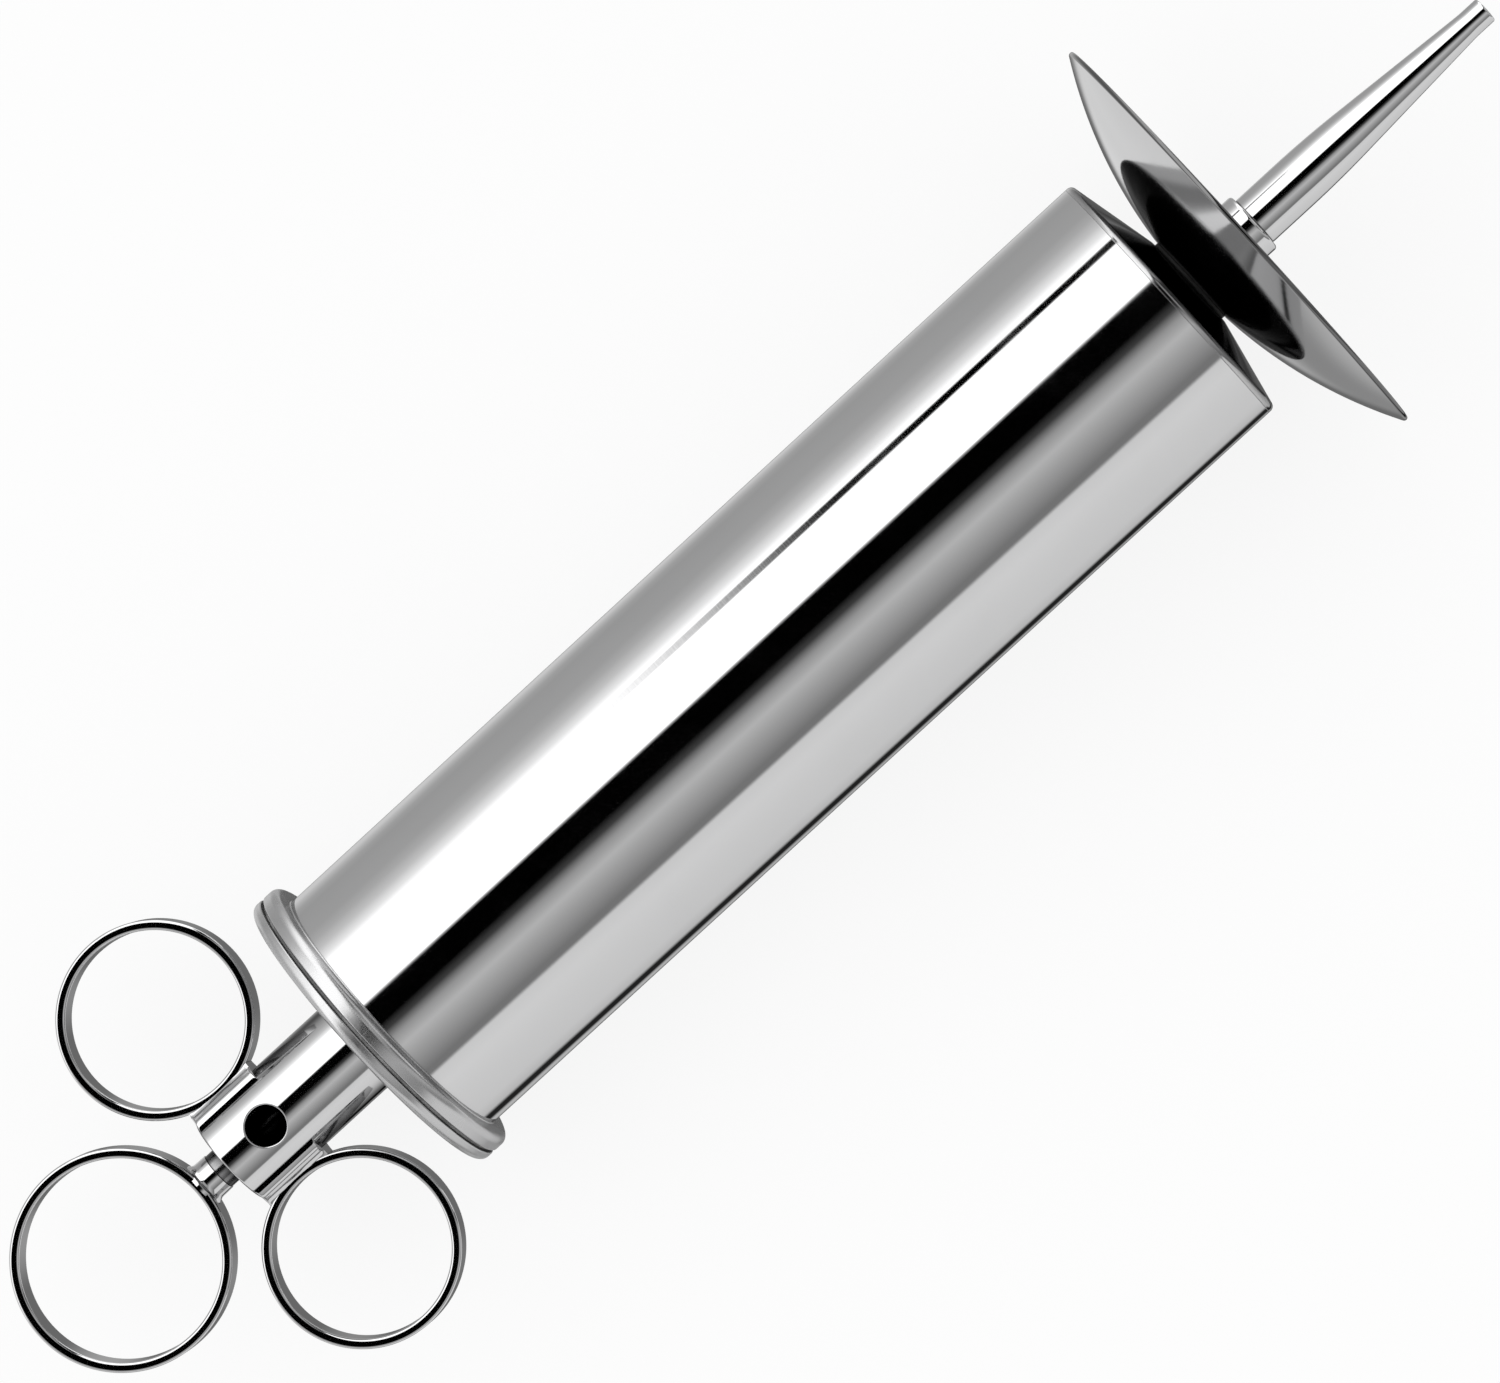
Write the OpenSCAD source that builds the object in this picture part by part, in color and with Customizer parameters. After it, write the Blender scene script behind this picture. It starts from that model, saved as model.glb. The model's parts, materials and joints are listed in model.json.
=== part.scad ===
// Metal piston injector with finger rings, a screw cap and a splash shield.
//
// Everything is turned about the X axis. The liquid leaves along +X, the thumb
// ring is at -X, the finger rings lie in the XY plane and +Z is up.
// Positions along the axis are first counted from the front face of the rear
// flange (station 0); the whole model is then shifted so that the origin is
// at the centre of its bounding box.

/* [Barrel] */
// Outside diameter of the barrel
barrel_d = 40; // [36:0.5:44]
// Wall of the barrel
barrel_wall = 0.9; // [0.7:0.1:1.2]
// Length of the barrel in front of the flange
barrel_l = 141.6; // [120:0.2:160]
// How far the cone of the front cap rises
nose_rise = 2.6; // [2:0.1:4]
// Radius of the flat boss that the splash shield is clamped against
boss_r = 7.2; // [6.5:0.1:8]

/* [Rear flange] */
// Outside diameter of the collar and of the screw cap
flange_d = 45.8; // [44.5:0.1:50]
// Thickness of the collar brazed round the barrel
collar_t = 2.3; // [2:0.1:3]
// Thickness of the sealing ring
gasket_t = 0.5; // [0.3:0.1:0.8]
// Thickness of the screw cap's rim
cap_t = 1.8; // [1.5:0.1:2.5]
// Length of the thread under the cap
thread_l = 6; // [5.5:0.1:8]

/* [Handle] */
// Outside diameter of the guide sleeve
sleeve_d = 14; // [13:0.2:16]
// Length of the guide sleeve behind the flange
sleeve_l = 25; // [24:0.5:32]
// Diameter of the drain hole in the sleeve
drain_d = 5.6; // [3:0.1:5.8]
// Distance from the flange's rear face back to the drain hole
drain_back = 17.4; // [17:0.1:17.5]
// Bore of each finger ring
finger_bore_d = 24.2; // [22:0.1:26]
// Distance from the flange's rear face back to the finger rings' centres
finger_back = 19.5; // [19:0.1:19.7]
// Length of the saddles that carry the finger rings
saddle_l = 10.4; // [8:0.2:10.4]
// Height of the saddles
saddle_h = 9.2; // [7:0.2:10]
// Bore of the thumb ring
thumb_bore_d = 27.4; // [24:0.1:30]
// Thickness of the flat bands that the rings are bent from
band_t = 1.4; // [1.2:0.1:1.8]
// Width of the flat bands
band_w = 6; // [4:0.1:7]
// Length of rod between the sleeve and the thumb ring, plunger pushed home
rod_gap = 4.6; // [3:0.1:8]

/* [Plunger] */
// Diameter of the piston rod
rod_d = 5.4; // [5:0.1:6]
// Length of each cup packing along the axis
cup_l = 5.5; // [5:0.1:7]
// Length of the spacer between the two cup packings
spacer_l = 6; // [4:0.5:10]

/* [Nozzle and shield] */
// Diameter of the splash shield
shield_d = 66; // [55:0.5:75]
// Radius of the sphere that the shield is pressed to
shield_r = 68; // [60:1:90]
// Thickness of the shield's sheet
shield_t = 0.8; // [0.6:0.1:1.2]
// Diameter of the knurled base of the hub
hub_base_d = 13; // [12:0.2:14]
// Diameter of the hub's neck
hub_neck_d = 9.2; // [9:0.1:10.4]
// Diameter of the nozzle's parallel stretch
nozzle_d = 7.4; // [7:0.1:8]
// Diameter of the nozzle's tip
tip_d = 3.8; // [3.4:0.1:5]
// Diameter of the outlet
outlet_d = 2.4; // [1.5:0.1:2.6]
// Distance from the barrel's front end to the nozzle's tip
nozzle_reach = 55.8; // [50:0.2:70]

/* [Hidden] */
$fn = 96;

// Radial play of a part that turns or slides inside another
play = 0.05;
// Extra length that a cutting tool runs past the metal
over = 1;

barrel_r = barrel_d / 2;
bore_r = barrel_r - barrel_wall;
flange_r = flange_d / 2;
flange_round = 1.1;             // rounding of the flange's two outer edges
sleeve_r = sleeve_d / 2;
sleeve_wall = 1;
rod_r = rod_d / 2;
band_round = 0.4;               // rounding of the ring bands' edges

// Stations along the axis, from the rear to the front
gasket_x = -collar_t - gasket_t;
flange_x = gasket_x - cap_t;    // rear face of the flange
sleeve_x = flange_x - sleeve_l; // rear end of the sleeve
thumb_r = thumb_bore_d / 2 + band_t;
thumb_x = sleeve_x - rod_gap - thumb_r;
finger_r = finger_bore_d / 2 + band_t;
finger_x = flange_x - finger_back;
saddle_t = 1.2;                 // thickness of the saddles
finger_y = sleeve_r + finger_r + 0.1;
nose_x = barrel_l + nose_rise;  // face of the front cap's boss
tip_x = barrel_l + nozzle_reach;
mid_x = (tip_x + thumb_x - thumb_r) / 2;

// Front cap
cap_wall = 1;
rim_t = 1.2;                    // height of the cap's rim, flush with the barrel
rim_round = 1;
skirt_l = 1.3;                  // length of the cap's skirt inside the barrel
skirt_wall = 0.9;

// Piston: the front lip stops just short of the front cap's skirt
piston_x = barrel_l - rim_t - skirt_l - 0.6;
cup_web = 1.5;                  // thickness of a cup's flat bottom
lip_t = 1.7;                    // thickness of a cup's lip
cup_r = bore_r - play;
disc_t = 1.6;
disc_r = cup_r - lip_t - 0.3;
stud_r = 2;                     // threaded front end of the rod
hole_r = stud_r + play;
washer_t = 0.8;
nut_t = 3.2;
nut_af = 8;
front_web_x = piston_x - cup_l;
rear_web_x = front_web_x - spacer_l - cup_web;
shoulder_x = rear_web_x - disc_t;
shoulder_t = 1.5;
shoulder_r = 4.5;

// Shield, hub and nozzle
washer_gap = 0.5;               // thickness of the washer behind the shield
shield_x = nose_x + washer_gap;
hub_x = shield_x + shield_t;
spigot_r = 4;
spigot_x = nose_x + 7;          // front end of the spigot
spigot_bore_r = 1.6;
seal_t = 0.6;
seat_x = spigot_x + 0.1 + seal_t;
hub_end_x = seat_x + 4.1;
tenon_r = 3;
taper_x = hub_end_x + 12;       // where the nozzle starts to taper
land_l = 3.2;                   // parallel stretch behind the tip
outlet_l = 12;                  // parallel length of the outlet

// Places its children on the axis, their +Z along +X, at station x
module at(x) {
    translate([x - mid_x, 0, 0]) rotate([0, 90, 0]) children();
}

// Turns a profile drawn with the radius along X and the station along Y
module turned() {
    at(0) rotate_extrude() children();
}

// Plain ring from station x, of length l, between two radii
module ring(x, l, outer, inner) {
    turned() translate([inner, x]) square([outer - inner, l]);
}

// Rectangle in a profile: stations x0 to x1, radii r0 to r1
module band(x0, x1, r0, r1) {
    translate([r0, x0]) square([r1 - r0, x1 - x0]);
}

// Same, with its outer edge at x0 (side -1) or x1 (side 1) rounded
module round_band(x0, x1, r0, r1, rnd, side) {
    cx = side > 0 ? x1 - rnd : x0 + rnd;
    band(x0, x1, r0, r1 - rnd);
    if (side > 0) band(x0, cx, r0, r1);
    else band(cx, x1, r0, r1);
    intersection() {
        translate([r1 - rnd, cx]) circle(r = rnd);
        band(x0, x1, r0, r1);
    }
}

// Flat band bent to a ring about a vertical axis, with rounded edges
module bent_band(bore_radius) {
    rotate_extrude() translate([bore_radius, -band_w / 2]) {
        translate([band_round, 0]) square([band_t - 2 * band_round, band_w]);
        translate([0, band_round]) square([band_t, band_w - 2 * band_round]);
        for (r = [band_round, band_t - band_round])
            for (z = [band_round, band_w - band_round])
                translate([r, z]) circle(r = band_round);
    }
}

// --- Barrel ---------------------------------------------------------------

module barrel_tube() {
    color("silver")
        ring(-collar_t, barrel_l - rim_t + collar_t, barrel_r, bore_r);
}

// Cone spun from sheet, with a flat boss, a rounded rim and a short skirt
module front_cap() {
    rim_x = barrel_l - rim_t;
    corner_r = barrel_r - rim_round;
    skirt_in = bore_r - skirt_wall;
    color("silver") turned() difference() {
        union() {
            polygon([[0, rim_x], [corner_r, rim_x], [corner_r, barrel_l],
                     [boss_r, nose_x], [0, nose_x]]);
            band(rim_x, barrel_l - rim_round, 0, barrel_r);
            intersection() {
                translate([corner_r, barrel_l - rim_round]) circle(r = rim_round);
                band(rim_x, barrel_l, 0, barrel_r);
            }
            band(rim_x - skirt_l, rim_x, 0, bore_r);
        }
        polygon([[0, rim_x - skirt_l - over], [skirt_in, rim_x - skirt_l - over],
                 [skirt_in, rim_x], [boss_r - cap_wall, nose_x - cap_wall],
                 [0, nose_x - cap_wall]]);
        band(nose_x - cap_wall - over, nose_x + over, 0, spigot_r);
    }
}

// Threaded stub that the nozzle screws on to, with its head inside the cap
module nozzle_spigot() {
    head_t = 0.8;
    head_r = 5.6;
    head_x = nose_x - cap_wall - head_t;
    color("silver") turned() {
        band(head_x, head_x + head_t, spigot_bore_r, head_r);
        band(head_x, spigot_x, spigot_bore_r, spigot_r);
    }
}

module barrel_collar() {
    color("silver") turned()
        round_band(-collar_t, 0, barrel_r, flange_r, flange_round, 1);
}

// --- Screw cap and handle -------------------------------------------------

module cap_gasket() {
    color("dimgray") ring(gasket_x, gasket_t, flange_r - 0.6, bore_r + 0.2);
}

// Flange with the threaded ring that screws into the barrel
module rear_cap() {
    thread_wall = 1.9;
    thread_r = bore_r - play;
    color("silver") turned() {
        round_band(flange_x, gasket_x, sleeve_r, flange_r, flange_round, -1);
        band(gasket_x, gasket_x + thread_l, thread_r - thread_wall, thread_r);
    }
}

module guide_sleeve() {
    tenon_l = 1.8;  // length that shows inside the cap
    color("silver") difference() {
        ring(sleeve_x, sleeve_l + cap_t + tenon_l, sleeve_r, sleeve_r - sleeve_wall);
        translate([flange_x - drain_back - mid_x, 0, 0])
            cylinder(d = drain_d, h = sleeve_r + over);
    }
}

// Bush with a head, brazed into the sleeve's front end
module front_bush() {
    head_t = 1;
    front_x = gasket_x + 1.8;
    color("goldenrod") turned() {
        band(front_x - 7, front_x, rod_r + play, sleeve_r - sleeve_wall);
        band(front_x, front_x + head_t, rod_r + play, sleeve_r);
    }
}

// Loose bush in the sleeve's rear end, which can turn with the rod
module rear_bush() {
    bush_l = 4;
    inset = 0.3;
    color("goldenrod") ring(sleeve_x + inset, bush_l,
                            sleeve_r - sleeve_wall - play, rod_r + play);
}

// Finger ring with the saddle that is brazed to the sleeve, on side +1 or -1
module finger_ring(side) {
    reach = sleeve_r + saddle_t + over;
    color("silver") difference() {
        union() {
            translate([finger_x - mid_x, side * finger_y, 0])
                bent_band(finger_bore_d / 2);
            intersection() {
                ring(finger_x - saddle_l / 2, saddle_l, sleeve_r + saddle_t, sleeve_r);
                translate([finger_x - mid_x, side * reach / 2, 0])
                    cube([saddle_l + over, reach, saddle_h], center = true);
            }
        }
        at(sleeve_x) cylinder(r = sleeve_r, h = sleeve_l);
        translate([finger_x - mid_x, side * finger_y, -band_w])
            cylinder(d = finger_bore_d, h = 2 * band_w);
    }
}

// --- Plunger --------------------------------------------------------------

module piston_rod() {
    rear_x = thumb_x + thumb_r - band_t / 2;
    color("gainsboro") turned() {
        band(rear_x, shoulder_x, 0, rod_r);
        band(shoulder_x - shoulder_t, shoulder_x, 0, shoulder_r);
        band(shoulder_x, piston_x + 2.2, 0, stud_r);
    }
}

// Ring with a flared root, bored for the end of the rod
module thumb_ring() {
    root_l = 2.4;
    root_r = rod_r + 0.6;
    root_x = thumb_x + thumb_r;
    color("silver") difference() {
        union() {
            translate([thumb_x - mid_x, 0, 0]) bent_band(thumb_bore_d / 2);
            at(root_x - band_t / 2) cylinder(r = root_r, h = band_t / 2);
            at(root_x) cylinder(r1 = root_r, r2 = rod_r + 0.15, h = root_l);
        }
        at(root_x - band_t / 2) cylinder(r = rod_r, h = root_l + band_t);
    }
}

module rear_piston_disc() {
    color("gainsboro") ring(shoulder_x, disc_t, disc_r, hole_r);
}

// Cup packing: a flat web at station x and a lip on one side of it
module cup(web_x, lip_x) {
    color("dimgray") turned() {
        band(web_x, web_x + cup_web, hole_r, cup_r);
        band(lip_x, lip_x + cup_l, cup_r - lip_t, cup_r);
    }
}

module rear_cup() {
    cup(rear_web_x, rear_web_x + cup_web - cup_l);
}

// Spacer shaped as a spool
module piston_spacer() {
    rim_w = 1.5;
    neck_r = 8;
    spacer_x = front_web_x - spacer_l;
    color("gainsboro") turned() {
        band(spacer_x, front_web_x, hole_r, neck_r);
        band(spacer_x, spacer_x + rim_w, hole_r, disc_r + 1);
        band(front_web_x - rim_w, front_web_x, hole_r, disc_r + 1);
    }
}

module front_cup() {
    cup(front_web_x, front_web_x);
}

module front_piston_disc() {
    color("gainsboro") ring(front_web_x + cup_web, disc_t, disc_r, hole_r);
}

module lock_washer() {
    color("gainsboro") ring(front_web_x + cup_web + disc_t, washer_t, 4.2, hole_r);
}

module piston_nut() {
    color("goldenrod") at(front_web_x + cup_web + disc_t + washer_t) difference() {
        cylinder(d = nut_af / cos(30), h = nut_t, $fn = 6);
        translate([0, 0, -over]) cylinder(r = hole_r, h = nut_t + 2 * over);
    }
}

// --- Shield and nozzle ----------------------------------------------------

module shield_washer() {
    color("dimgray") ring(nose_x, washer_gap, boss_r - 0.6, spigot_r + play);
}

// Dish hollow towards the tip: a flat seat, then part of a sphere
module splash_shield() {
    seat_r = boss_r;
    centre_x = shield_x + sqrt(pow(shield_r, 2) - pow(seat_r, 2));
    color("silver") turned() {
        band(shield_x, shield_x + shield_t, spigot_r + play, seat_r);
        intersection() {
            difference() {
                translate([0, centre_x]) circle(r = shield_r, $fn = 360);
                translate([0, centre_x + shield_t]) circle(r = shield_r, $fn = 360);
            }
            band(shield_x - over, centre_x, seat_r, shield_d / 2);
        }
    }
}

module nozzle_seal() {
    color("dimgray") ring(spigot_x + 0.1, seal_t, spigot_r - 0.2, spigot_bore_r);
}

// Hub with a knurled base, screwed on to the spigot
module nozzle_hub() {
    base_l = 4.5;
    slope_l = 1.2;
    base_r = hub_base_d / 2;
    neck_r = hub_neck_d / 2;
    flutes = 30;
    flute_r = 0.4;
    end_round = 0.5;
    color("silver") difference() {
        union() {
            at(hub_x) linear_extrude(height = base_l) difference() {
                circle(r = base_r);
                for (i = [0:flutes - 1])
                    rotate(i * 360 / flutes) translate([base_r, 0]) circle(r = flute_r);
            }
            at(hub_x + base_l) cylinder(r1 = base_r - flute_r, r2 = neck_r, h = slope_l);
            turned()
                round_band(hub_x + base_l, hub_end_x, 0, neck_r, end_round, 1);
        }
        at(hub_x - over) cylinder(r = spigot_r + play, h = seat_x - hub_x + over);
        at(hub_x) cylinder(r = tenon_r, h = hub_end_x - hub_x + over);
    }
}

// Straight, then tapered tube, with a tenon that is brazed into the hub
module nozzle_tube() {
    wide_r = 2.2;
    body_r = nozzle_d / 2;
    tip_r = tip_d / 2;
    outlet_r = outlet_d / 2;
    land_x = tip_x - land_l;
    outlet_x = tip_x - outlet_l;
    color("silver") turned() difference() {
        polygon([[0, seat_x], [tenon_r, seat_x], [tenon_r, hub_end_x],
                 [body_r, hub_end_x], [body_r, taper_x], [tip_r, land_x],
                 [tip_r, tip_x], [0, tip_x]]);
        polygon([[0, seat_x - over], [wide_r, seat_x - over], [wide_r, taper_x],
                 [outlet_r, outlet_x], [outlet_r, tip_x + over], [0, tip_x + over]]);
    }
}

barrel_tube();
front_cap();
nozzle_spigot();
barrel_collar();
cap_gasket();
rear_cap();
guide_sleeve();
front_bush();
rear_bush();
finger_ring(1);  // finger_ring_left
finger_ring(-1);  // finger_ring_right
piston_rod();
thumb_ring();
rear_piston_disc();
rear_cup();
piston_spacer();
front_cup();
front_piston_disc();
lock_washer();
piston_nut();
shield_washer();
splash_shield();
nozzle_seal();
nozzle_hub();
nozzle_tube();
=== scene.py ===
"""Looks of the piston injector: polished turned metal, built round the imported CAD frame.

Every turned piece is an outline of corners (station, radius, rounding) in mm, swept about the X axis with
its true normals. Stations and outer radii come from the CAD nodes' boxes.
"""
import json
import math

import bpy
import numpy as np
from mathutils import Matrix, Vector


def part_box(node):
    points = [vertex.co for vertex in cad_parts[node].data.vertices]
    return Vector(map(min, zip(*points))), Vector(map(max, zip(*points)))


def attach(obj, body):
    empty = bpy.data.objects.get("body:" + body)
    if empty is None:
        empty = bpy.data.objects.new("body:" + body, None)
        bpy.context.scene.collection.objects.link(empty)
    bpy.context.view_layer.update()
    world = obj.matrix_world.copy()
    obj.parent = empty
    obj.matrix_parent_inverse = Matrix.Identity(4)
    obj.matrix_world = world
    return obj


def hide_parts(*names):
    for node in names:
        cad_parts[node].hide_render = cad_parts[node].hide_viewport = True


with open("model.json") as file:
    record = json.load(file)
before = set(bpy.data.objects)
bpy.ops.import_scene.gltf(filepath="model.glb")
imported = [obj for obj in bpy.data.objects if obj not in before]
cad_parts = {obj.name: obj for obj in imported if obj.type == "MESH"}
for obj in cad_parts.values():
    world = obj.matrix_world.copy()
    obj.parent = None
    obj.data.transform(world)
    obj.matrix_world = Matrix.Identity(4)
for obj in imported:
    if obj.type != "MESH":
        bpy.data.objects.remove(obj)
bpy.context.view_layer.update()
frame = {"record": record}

MM = 0.001
SLACK = 0.001  # mm; stations closer than this count as one
BODY = {node: body for body, nodes in frame["record"]["behaviour"]["bodies"].items() for node in nodes}

# Sizes that no box gives, in mm
BARREL_WALL = 0.9
BAND_T, BAND_W, BAND_ROUND = 1.4, 6.0, 0.4  # flat band of the rings
SADDLE_T, SADDLE_L, SADDLE_H = 1.2, 10.4, 9.2  # pad that carries a finger ring
SLEEVE_WALL = 1.0
DRAIN_R = 2.8
DRAIN_BACK = 17.4  # from the flange's rear face back to the drain hole
ROD_R = 2.7
PLAY = 0.05
ROD_BORE = ROD_R + PLAY
STUD_R = 2.0  # threaded front end of the rod
STUD_BORE = STUD_R + PLAY
SPIGOT_R = 4.0  # threaded stud that the nozzle screws on to
SPIGOT_BORE = SPIGOT_R + PLAY
SPIGOT_DUCT = 1.6  # radius of the hole through that stud
TENON_R = 3.0  # end of the nozzle's tube, inside the hub
FEATHER = 0.02  # thickness of braze at its edge
FIT = 0.02  # gap between faces that are pressed or brazed together


def span(node):
    """Rear end, front end and outer radius of a turned CAD node, to 0.05 mm."""
    low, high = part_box(node)
    return [round(v / MM * 20) / 20 for v in (low.x, high.x, high.y)]


# --- Meshes -----------------------------------------------------------------------------------------------

def cuts(turn, radius, error=0.002):
    """Number of straight steps that keeps an arc within error (mm) of its true shape."""
    step = 2 * math.acos(max(0.0, 1 - error / max(radius, 4 * error)))
    return max(2, math.ceil(abs(turn) / step))


def outline(corners):
    """Strips (point, point, normal, normal) of a closed outline, walked with the solid on its left.

    A corner is (station, radius) or (station, radius, rounding).
    """
    points = [Vector(c[:2]) for c in corners]
    rounding = [c[2] if len(c) > 2 else 0 for c in corners]
    count = len(points)
    bends = []
    for i, point in enumerate(points):
        before = (point - points[i - 1]).normalized()
        after = (points[(i + 1) % count] - point).normalized()
        turn = math.atan2(before.x * after.y - before.y * after.x, before.dot(after))
        start = math.atan2(-before.x, before.y)  # angle of the normal on the right of the walk
        if rounding[i] == 0 or abs(turn) < 1e-4:
            bends.append([(point, Vector((before.y, -before.x))), (point, Vector((after.y, -after.x)))])
            continue
        side = math.copysign(1, turn)
        cut = rounding[i] * math.tan(abs(turn) / 2)
        centre = point - before * cut - Vector((before.y, -before.x)) * rounding[i] * side
        steps = cuts(turn, rounding[i])
        angles = [start + turn * k / steps for k in range(steps + 1)]
        normals = [Vector((math.cos(a), math.sin(a))) for a in angles]
        bends.append([(centre + n * rounding[i] * side, n) for n in normals])
    strips = []
    for i, bend in enumerate(bends):
        for (p, m), (q, n) in zip(bend, bend[1:]):
            if (q - p).length > 1e-6:
                strips.append((p, q, m, n))
        p, m = bend[-1]
        q, n = bends[(i + 1) % count][0]
        if (q - p).length > 1e-6:
            strips.append((p, q, m, n))
    return strips


def divided(strips, start, end, step):
    """Cuts the strips that run along the axis between two stations to lengths of about step."""
    out = []
    for p, q, m, n in strips:
        inside = start - SLACK <= min(p.x, q.x) and max(p.x, q.x) <= end + SLACK
        pieces = math.ceil(abs(q.x - p.x) / step) if inside and m.y > 0.9 else 1
        for k in range(pieces):
            out.append((p.lerp(q, k / pieces), p.lerp(q, (k + 1) / pieces), m, n))
    return out


def swept(strips, segments, relief=None):
    """Sweeps strips about the X axis: (points in mm, faces, one normal per face corner).

    relief(station, radius, angle) is how much a pattern adds to the radius there, on arrays.
    """
    strips = [s for s in strips if max(s[0].y, s[1].y) > 1e-6]
    ends = [(s[0], s[2]) for s in strips] + [(s[1], s[3]) for s in strips]
    x = np.array([p.x for p, _ in ends])[:, None]
    r = np.array([p.y for p, _ in ends])[:, None]
    nx = np.array([n.x for _, n in ends])[:, None]
    nr = np.array([n.y for _, n in ends])[:, None]
    angle = np.arange(segments)[None, :] * 2 * math.pi / segments
    height = relief(x, r, angle) if relief else np.zeros((len(ends), segments))
    along, around = 0 * height, 0 * height
    if relief:
        eps = 0.005
        before, after = relief(x + eps * nr, r - eps * nx, angle), relief(x - eps * nr, r + eps * nx, angle)
        along = (after - before) / (2 * eps)
        around = (relief(x, r, angle + eps) - relief(x, r, angle - eps)) / (2 * eps)
    radius = r + height
    lean = -nr * around / np.maximum(radius, 0.1)
    place = np.stack([x + 0 * height, radius * np.sin(angle), radius * np.cos(angle)], -1)
    normal = np.stack([nx + along, nr * np.sin(angle) + lean * np.cos(angle),
                       nr * np.cos(angle) - lean * np.sin(angle)], -1)
    normal /= np.maximum(np.linalg.norm(normal, axis=-1, keepdims=True), 1e-9)

    index, points = {}, []
    rows = []
    for k, (p, _) in enumerate(ends):
        key = (round(p.x, 5), round(p.y, 5))
        if key not in index:
            index[key] = len(points)
            points.extend(place[k, :1] if p.y < 1e-6 else place[k])
        rows.append((index[key], 1 if p.y < 1e-6 else segments))
    faces, normals = [], []
    count = len(strips)
    for k in range(count):
        (a, na), (b, nb) = rows[k], rows[k + count]
        for j in range(segments):
            i = (j + 1) % segments
            face = [(a + j % na, k, j), (a + i % na, k, i),
                    (b + i % nb, k + count, i), (b + j % nb, k + count, j)]
            seen, kept = set(), []
            for v, row, col in face:
                if v not in seen:
                    seen.add(v)
                    kept.append((v, row, col))
            faces.append([v for v, _, _ in kept])
            normals.extend(normal[row, col] for _, row, col in kept)
    return np.array(points), faces, np.array(normals)


def sheet(top, bottom):
    """Closed shell between two grids (rows x columns x 3, in mm) of one shape; top is the far side."""
    rows, cols = top.shape[:2]
    count = rows * cols
    points = np.concatenate([top.reshape(-1, 3), bottom.reshape(-1, 3)])
    bent = []
    for skin, sign in ((top, 1), (bottom, -1)):
        normal = np.cross(np.gradient(skin, axis=1), np.gradient(skin, axis=0)) * sign
        bent.append((normal / np.linalg.norm(normal, axis=-1, keepdims=True)).reshape(-1, 3))
    index = np.arange(count).reshape(rows, cols)
    faces, normals = [], []
    for i in range(rows - 1):
        for j in range(cols - 1):
            quad = [int(v) for v in (index[i, j], index[i, j + 1], index[i + 1, j + 1], index[i + 1, j])]
            faces += [quad, [v + count for v in reversed(quad)]]
            normals += [bent[0][v] for v in quad] + [bent[1][v] for v in reversed(quad)]
    rim = [int(v) for v in (*index[0, :], *index[1:, -1], *index[-1, -2::-1], *index[-2:0:-1, 0])]
    for a, b in zip(rim, rim[1:] + rim[:1]):
        quad = [b, a, a + count, b + count]
        wall = np.cross(points[quad[1]] - points[quad[0]], points[quad[3]] - points[quad[0]])
        faces.append(quad)
        normals += [wall / np.linalg.norm(wall)] * 4
    return points, faces, np.array(normals)


def joined(*parts):
    """Puts several (points, faces, normals) into one."""
    points, faces, normals, base = [], [], [], 0
    for p, f, n in parts:
        points.append(p)
        faces.extend([[v + base for v in face] for face in f])
        normals.append(n)
        base += len(p)
    return np.concatenate(points), faces, np.concatenate(normals)


def placed(part, centre=(0, 0, 0), turn=None):
    """Turns a part by a 3x3 matrix and moves it to a centre given in mm."""
    points, faces, normals = part
    matrix = np.array(turn) if turn is not None else np.eye(3)
    return points @ matrix.T + np.array(centre), faces, normals @ matrix.T


def piece(node, part, material):
    """Makes the finished mesh that stands for one CAD node."""
    points, faces, normals = part
    mesh = bpy.data.meshes.new(node + "_finish")
    mesh.from_pydata((points * MM).tolist(), [], faces)
    mesh.polygons.foreach_set("use_smooth", [True] * len(mesh.polygons))
    mesh.normals_split_custom_set(normals.tolist())
    mesh.materials.append(material)
    obj = bpy.data.objects.new(node + "_finish", mesh)
    bpy.context.scene.collection.objects.link(obj)
    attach(obj, BODY[node])
    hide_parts(node)
    return obj


def turned(node, corners, material, segments=128, fine=None, relief=None):
    """A piece turned about the X axis; fine is the (start, end, step) of a stretch that carries a relief."""
    strips = outline(corners)
    if fine:
        strips = divided(strips, *fine)
    return piece(node, swept(strips, segments, relief), material)


def thread(start, end, pitch, depth):
    """Relief of a rounded right-hand thread cut into a cylinder, running out at both ends."""
    def height(x, r, angle):
        wave = 0.5 - 0.5 * np.cos(2 * math.pi * (x / pitch + angle / (2 * math.pi)))
        fade = np.clip(np.minimum(x - start, end - x) / pitch, 0, 1)
        return -depth * wave * fade
    return height


# --- Barrel -----------------------------------------------------------------------------------------------

def barrel_tube(material):
    x0, x1, r = span("barrel_tube")
    bore = r - BARREL_WALL
    turned("barrel_tube", [(x0, bore, 0.2), (x1, bore, 0.1), (x1, r, 0.06), (x0, r, 0.1)], material, 256)


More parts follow.
